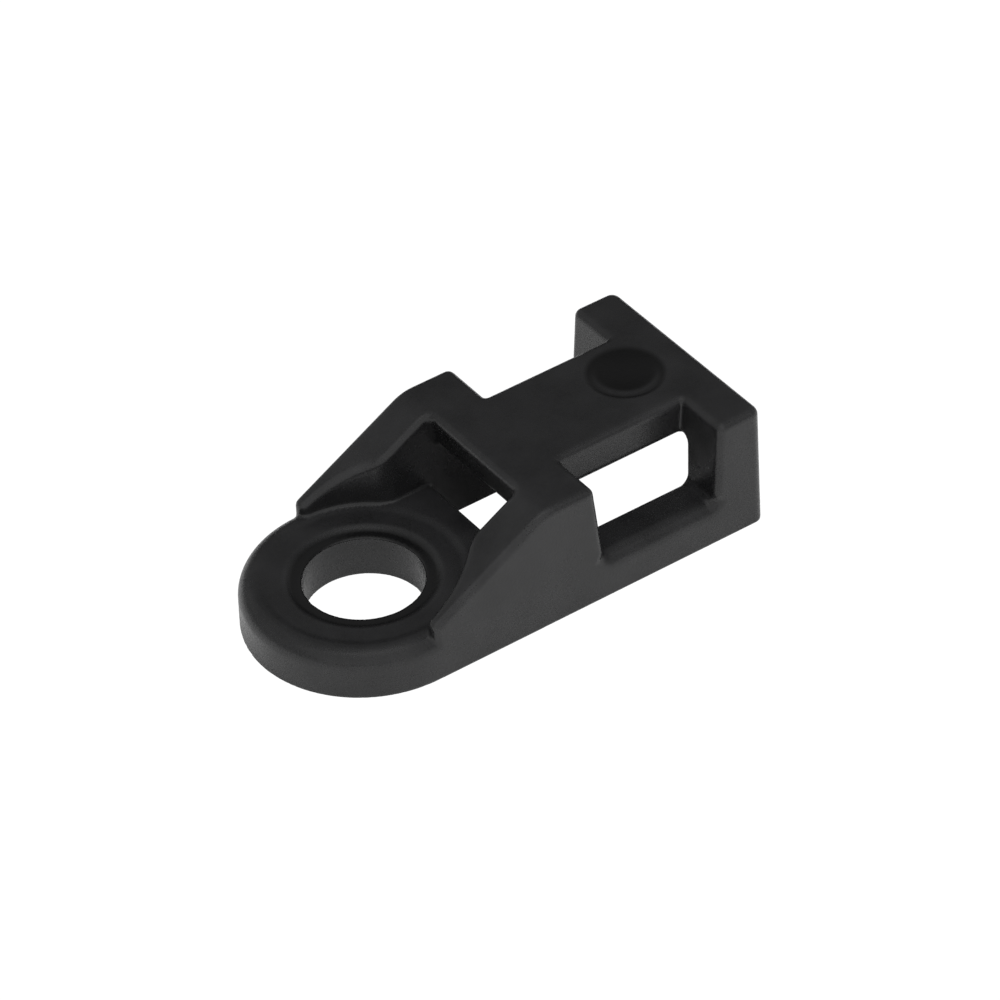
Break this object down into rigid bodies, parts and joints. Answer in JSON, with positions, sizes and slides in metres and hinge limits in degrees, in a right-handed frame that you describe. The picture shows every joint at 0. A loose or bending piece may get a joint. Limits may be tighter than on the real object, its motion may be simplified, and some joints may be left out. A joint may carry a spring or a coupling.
{
  "type": "screw-fixed cable tie mount",
  "caption": "Small moulded saddle mount for a cable tie: a round screw tab, two sloping gussets and a bridge that the tie passes under.",
  "frame": {"origin": "centre of the screw hole on the mounting face", "axes": "+X from the screw hole towards the end wall, +Y across to the left side wall, +Z away from the surface it is screwed to"},
  "size_m": [0.021, 0.01, 0.0057],
  "materials": {
    "nylon": "black moulded nylon, semi-matte with satin edges"
  },
  "bodies": {
    "root": {"screw_tab": "nylon", "left_gusset": "nylon", "right_gusset": "nylon", "left_horn": "nylon", "right_horn": "nylon", "front_lintel": "nylon", "bridge": "nylon", "left_sill": "nylon", "right_sill": "nylon", "left_end_post": "nylon", "right_end_post": "nylon", "end_lintel": "nylon"}
  },
  "joints": []
}
